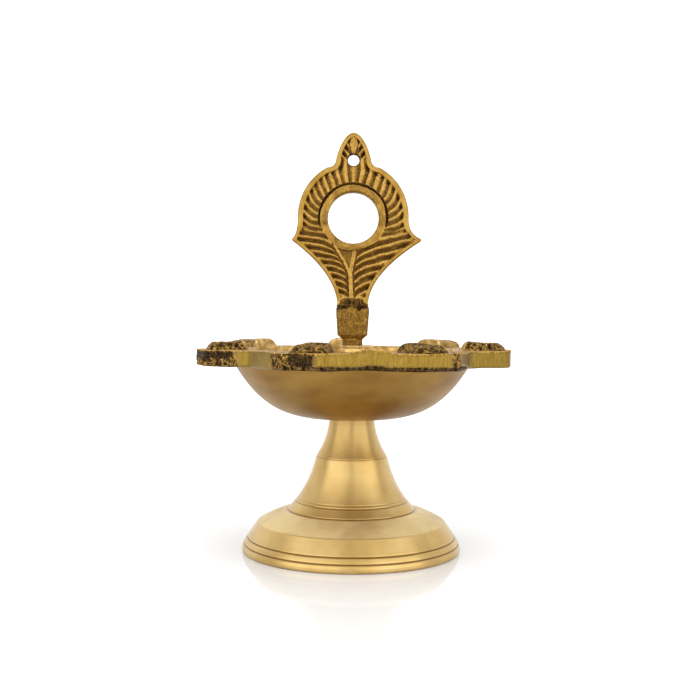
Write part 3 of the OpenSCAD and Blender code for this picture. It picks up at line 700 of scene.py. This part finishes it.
def paint(code):
    """An sRGB hex value as the linear colour that a shader takes."""
    srgb = [int(code[i:i + 2], 16) / 255 for i in (1, 3, 5)]
    return tuple(c / 12.92 if c <= 0.04045 else ((c + 0.055) / 1.055) ** 2.4 for c in srgb) + (1.0,)


def add(tree, kind, links=None, **settings):
    """Adds a node: settings are its own properties, links its inputs, each a value or another node's output."""
    made = tree.nodes.new("ShaderNode" + kind)
    for key, value in settings.items():
        setattr(made, key, value)
    for key, value in (links or {}).items():
        if isinstance(value, bpy.types.NodeSocket):
            tree.links.new(value, made.inputs[key])
        else:
            made.inputs[key].default_value = value
    return made


def start(name):
    """A new material with only a Principled shader and its output: returns the material, its tree and the shader."""
    material = bpy.data.materials.new(name)
    material.use_nodes = True
    tree = material.node_tree
    return material, tree, tree.nodes["Principled BSDF"]


def mixed(tree, share, a, b):
    """A colour between a and b, by share."""
    return add(tree, "Mix", {0: share, 6: a, 7: b}, data_type="RGBA").outputs[2]


def ramp(tree, value, *stops):
    """Colours set out along a value from 0 to 1."""
    made = add(tree, "ValToRGB", {"Fac": value})
    points = made.color_ramp.elements
    while len(points) < len(stops):
        points.new(0.5)
    for point, (at, code) in zip(points, stops):
        point.position, point.color = at, paint(code)
    return made.outputs["Color"]


def span(tree, value, a, b, c, d):
    """The value's range a to b stretched to c to d and held there."""
    return add(tree, "MapRange", {"Value": value, "From Min": a, "From Max": b, "To Min": c, "To Max": d}).outputs[0]


def mark(tree, name):
    """A number that the mesh carries at each point."""
    return add(tree, "Attribute", attribute_name=name).outputs["Fac"]


def speckle(tree, size_mm, stretch=(1, 1, 1), detail=2.0, vector=None):
    """Noise of a real grain size over the piece, optionally stretched along its axes."""
    where = vector or add(tree, "TexCoord").outputs["Object"]
    scaled = add(tree, "VectorMath", {0: where, 1: stretch}, operation="MULTIPLY").outputs[0]
    return add(tree, "TexNoise", {"Vector": scaled, "Scale": 1 / (size_mm * MM), "Detail": detail}).outputs["Fac"]


def lathe_lines(tree, pitch_mm):
    """Noise that changes only with distance from the axis and with height, as the lines of a turning tool do."""
    where = add(tree, "TexCoord").outputs["Object"]
    flat = add(tree, "VectorMath", {0: where, 1: (1, 1, 0)}, operation="MULTIPLY").outputs[0]
    radius = add(tree, "VectorMath", {0: flat}, operation="LENGTH").outputs["Value"]
    height = add(tree, "SeparateXYZ", {0: where}).outputs["Z"]
    return speckle(tree, pitch_mm, detail=3, vector=add(tree, "CombineXYZ", {"X": radius, "Z": height}).outputs[0])


def raised(tree, shader, height, depth_mm, strength=1.0):
    """Bump of a real depth on a shader."""
    bump = add(tree, "Bump", {"Height": height, "Strength": strength, "Distance": depth_mm * MM})
    tree.links.new(bump.outputs[0], shader.inputs["Normal"])


def turned_brass():
    """Brass turned on a lathe and wiped with fine abrasive: a satin gold, brightest across its fine rings, a little
    clouded by handling, duller on the slope and painted paler there as a sheen, and painted dark brown in the grooves
    as shade."""
    material, tree, shader = start("turned_brass")
    lines = lathe_lines(tree, 0.32)
    cloud = speckle(tree, 9)
    gold = mixed(tree, span(tree, cloud, 0.35, 0.65, 0, 1), paint("#D0B276"), paint("#C4A261"))
    gold = mixed(tree, span(tree, lines, 0.5, 0.75, 0, 0.3), gold, paint("#B9975A"))
    matt_and_sheen = mark(tree, "matt_and_sheen")
    # Painted sheen: the sloping top's colour drawn towards pale cream.
    gold = mixed(tree, span(tree, matt_and_sheen, 0, 1, 0, 0.8), gold, paint("#F0DAA4"))
    smear = speckle(tree, 8, (1, 1, 0.5), 4)
    gold = mixed(tree, span(tree, smear, 0.45, 0.75, 0, 0.5), gold, paint("#B4955C"))
    # Painted shade: dark brown laid into the grooves.
    painted_groove_shade = span(tree, mark(tree, "painted_groove_shade"), 0.25, 0.9, 0, 0.92)
    tree.links.new(mixed(tree, painted_groove_shade, gold, paint("#6E4F22")), shader.inputs["Base Color"])
    satin = add(tree, "Math", {0: span(tree, lines, 0.3, 0.7, 0.33, 0.43), 1: span(tree, matt_and_sheen, 0, 1, 0, 0.2)})
    tree.links.new(satin.outputs[0], shader.inputs["Roughness"])
    shader.inputs["Metallic"].default_value = 0.96
    shader.inputs["Anisotropic"].default_value = 0.7
    shader.inputs["Anisotropic Rotation"].default_value = 0.25
    tree.links.new(add(tree, "Tangent", direction_type="RADIAL", axis="Z").outputs[0], shader.inputs["Tangent"])
    raised(tree, shader, lines, 0.012, 0.4)
    return material


def bowl_brass():
    """Cast brass skimmed on a lathe and left satin, with faint rings. The outside, which faces down, is painted a
    darker, browner gold as shade; the inside keeps a brighter gold."""
    material, tree, shader = start("bowl_brass")
    lines = lathe_lines(tree, 0.5)
    cloud = speckle(tree, 14, (1, 1, 2.5))
    # Painted shade: the outside, the bowl's underside, gets a darker brown than the inside.
    brown = mixed(tree, span(tree, cloud, 0.35, 0.65, 0, 1), paint("#9C7B40"), paint("#886532"))
    brown = mixed(tree, span(tree, lines, 0.5, 0.8, 0, 0.22), brown, paint("#755526"))
    inside = mark(tree, "inside")
    tree.links.new(mixed(tree, inside, brown, paint("#C7A463")), shader.inputs["Base Color"])
    tree.links.new(span(tree, inside, 0, 1, 0.42, 0.33), shader.inputs["Roughness"])
    shader.inputs["Metallic"].default_value = 1.0
    raised(tree, shader, lines, 0.014, 0.45)
    return material


def tray_brass():
    """Sand-cast brass with its edge filed: the skin keeps a dark, rough oxide whose crests were rubbed back to metal,
    and the file left upright scratches in a greener, rawer yellow."""
    material, tree, shader = start("tray_brass")
    skin, crest, scale, filed = (mark(tree, name) for name in ("skin", "crest", "scale", "filed"))
    streaks = speckle(tree, 0.3, (1, 1, 0.12), 4)
    fine = speckle(tree, 0.35)
    yellow = mixed(tree, span(tree, streaks, 0.36, 0.62, 0, 1), paint("#755C22"), paint("#8C722E"))
    yellow = mixed(tree, span(tree, speckle(tree, 2.4), 0.5, 0.72, 0, 0.35), yellow, paint("#775C22"))
    cut = mixed(tree, span(tree, speckle(tree, 2.2), 0.38, 0.62, 0, 1), paint("#D2AE6C"), paint("#9E7B40"))
    gold = mixed(tree, filed, cut, yellow)
    crests = add(tree, "Math", {0: crest, 1: span(tree, fine, 0.3, 0.7, -0.16, 0.16)}, operation="ADD").outputs[0]
    rough = ramp(tree, crests, (0.0, "#1A1105"), (0.32, "#382710"), (0.55, "#5E4620"), (0.76, "#947236"),
                 (1.0, "#C69D50"))
    oxide = ramp(tree, crests, (0.0, "#1C1207"), (0.45, "#3A2914"), (0.75, "#6A5029"), (1.0, "#B08C54"))
    rough = mixed(tree, scale, rough, oxide)
    tree.links.new(mixed(tree, skin, gold, rough), shader.inputs["Base Color"])
    tree.links.new(span(tree, skin, 0, 1, 0.36, 0.5), shader.inputs["Roughness"])
    shader.inputs["Metallic"].default_value = 0.92
    grit = add(tree, "Math", {0: streaks, 1: fine}, operation="ADD").outputs[0]
    raised(tree, shader, grit, 0.05, 0.6)
    return material


def antique_brass():
    """Sand-cast brass, dipped to darken it and rubbed back: worn gold on the borders and ribs, brown in between and
    nearly black in the deepest corners, over a fine stipple from the sand."""
    material, tree, shader = start("antique_brass")
    pit, panel = mark(tree, "pit"), mark(tree, "panel")
    sand = speckle(tree, 0.38, detail=3)
    wear = speckle(tree, 4)
    shade = add(tree, "Math", {0: pit, 1: span(tree, sand, 0.3, 0.7, -0.18, 0.18)}, operation="ADD").outputs[0]
    worn = mixed(tree, span(tree, wear, 0.35, 0.65, 0, 1), paint("#A98640"), paint("#93702E"))
    worn = mixed(tree, span(tree, sand, 0.5, 0.75, 0, 0.35), worn, paint("#7A5823"))
    dark = ramp(tree, shade, (0.0, "#B9934A"), (0.22, "#A98340"), (0.45, "#87662C"), (0.68, "#61461B"),
                (0.88, "#38270F"), (1.0, "#20150A"))
    tree.links.new(mixed(tree, span(tree, panel, 0.05, 0.5, 0, 1), worn, dark), shader.inputs["Base Color"])
    tree.links.new(span(tree, shade, 0.2, 0.9, 0.36, 0.62), shader.inputs["Roughness"])
    shader.inputs["Metallic"].default_value = 0.95
    raised(tree, shader, sand, 0.04, 0.5)
    return material


def plated_steel():
    """Zinc-plated steel, as hardware comes: a cool grey that is a little cloudy."""
    material, tree, shader = start("plated_steel")
    cloud = speckle(tree, 1.2)
    tree.links.new(mixed(tree, cloud, paint("#B9BCBC"), paint("#9EA0A0")), shader.inputs["Base Color"])
    tree.links.new(span(tree, cloud, 0.3, 0.7, 0.25, 0.42), shader.inputs["Roughness"])
    shader.inputs["Metallic"].default_value = 1.0
    return material


def sealing_fibre():
    """Vulcanised fibre cut from sheet and soaked with oil: a dull dark brown with a faint mottle."""
    material, tree, shader = start("sealing_fibre")
    mottle = speckle(tree, 0.6)
    tree.links.new(mixed(tree, mottle, paint("#6B4A32"), paint("#4A3020")), shader.inputs["Base Color"])
    shader.inputs["Roughness"].default_value = 0.62
    raised(tree, shader, mottle, 0.02)
    return material


# ---------------------------------------------------------------- stage

def floor():
    """A white sheet of gloss acrylic under the lamp, lit from underneath further out so that it meets the white
    behind it on every side."""
    half = 4.0
    mesh = bpy.data.meshes.new("floor")
    mesh.from_pydata([(-half, -half, 0), (half, -half, 0), (half, half, 0), (-half, half, 0)], [], [(0, 1, 2, 3)])
    sheet = bpy.data.objects.new("floor", mesh)
    bpy.context.scene.collection.objects.link(sheet)
    material, tree, shader = start("white_acrylic")
    shader.inputs["Base Color"].default_value = (0.66, 0.66, 0.66, 1)
    shader.inputs["Roughness"].default_value = 0.05
    shader.inputs["IOR"].default_value = 1.45
    shader.inputs["Emission Color"].default_value = (1, 1, 1, 1)
    away = add(tree, "VectorMath", {0: add(tree, "TexCoord").outputs["Object"]}, operation="LENGTH").outputs["Value"]
    tree.links.new(span(tree, away, 0.3, 0.6, 0, 0.5), shader.inputs["Emission Strength"])
    mesh.materials.append(material)


def softbox(name, azimuth, height, width, tall, distance, watts, aim_z=0.055):
    """A rectangular lamp at an azimuth from the front, turned to face the diya."""
    data = bpy.data.lights.new(name, "AREA")
    data.shape, data.size, data.size_y, data.energy = "RECTANGLE", width, tall, watts
    lamp = bpy.data.objects.new(name, data)
    bpy.context.scene.collection.objects.link(lamp)
    a = math.radians(azimuth)
    place = np.array([distance * math.sin(a), -distance * math.cos(a), height])
    aim = place - np.array([0, 0, aim_z])
    back = aim / np.linalg.norm(aim)
    right = np.cross([0, 0, 1], back)
    right /= np.linalg.norm(right)
    turn = Matrix([[right[i], np.cross(back, right)[i], back[i]] for i in range(3)])
    lamp.matrix_world = Matrix.Translation(place) @ turn.to_4x4()
    return lamp


def white_room():
    """Surroundings: white wherever they are seen directly or light the floor, but dimmer on the camera's side in
    reflections, as an unlit room is."""
    world = bpy.data.worlds.new("studio")
    bpy.context.scene.world = world
    world.use_nodes = True
    tree = world.node_tree
    facing = add(tree, "SeparateXYZ", {0: add(tree, "TexCoord").outputs["Generated"]})
    room = span(tree, facing.outputs["Y"], -0.35, 0.45, 0.62, 1.15)
    glossy = add(tree, "LightPath").outputs["Is Glossy Ray"]
    level = add(tree, "Mix", {0: glossy, 2: 1.35, 3: room}, data_type="FLOAT").outputs[0]
    tree.links.new(level, tree.nodes["Background"].inputs["Strength"])
    tree.nodes["Background"].inputs["Color"].default_value = (1, 1, 1, 1)


def camera():
    """Eye level with the tray, a small step away, tipped down a little and leaning a little to one side."""
    data = bpy.data.cameras.new("view")
    data.sensor_width, data.lens, data.clip_start = 36, 54.2, 0.01
    eye = bpy.data.objects.new("view", data)
    bpy.context.scene.collection.objects.link(eye)
    eye.location = (-0.0007, -0.320, 0.0703)
    turn = Matrix.Rotation(math.radians(90 - 1.71), 3, "X") @ Matrix.Rotation(math.radians(0.4), 3, "Z")
    eye.rotation_euler = turn.to_euler()
    bpy.context.scene.camera = eye


# ---------------------------------------------------------------- the lamp

def finish_with(material, *pieces):
    """Gives pieces their material."""
    for piece in pieces:
        piece.data.materials.append(material)


turned = turned_brass()
finish_with(turned, foot(), rounded_ring("handle_washer", "handle_washer", "handle_washer", 2.25, 0.2))
finish_with(bowl_brass(), bowl_shell())
finish_with(tray_brass(), tray(), pads())
finish_with(antique_brass(), handle_plate(), handle_post())
finish_with(plated_steel(), bowl_stud(), lock_nut(), lock_washer())
finish_with(sealing_fibre(), rounded_ring("bowl_gasket", "bowl_gasket", "bowl_gasket", 3.25, 0.1))

floor()
softbox("left_box", -42, 0.25, 0.95, 0.60, 0.62, 2.7)
softbox("right_box", 42, 0.25, 0.95, 0.60, 0.62, 2.7)
softbox("top_box", 5, 0.75, 0.6, 0.5, 0.12, 1.5)
white_room()
camera()
bpy.context.scene.view_settings.view_transform = "Standard"
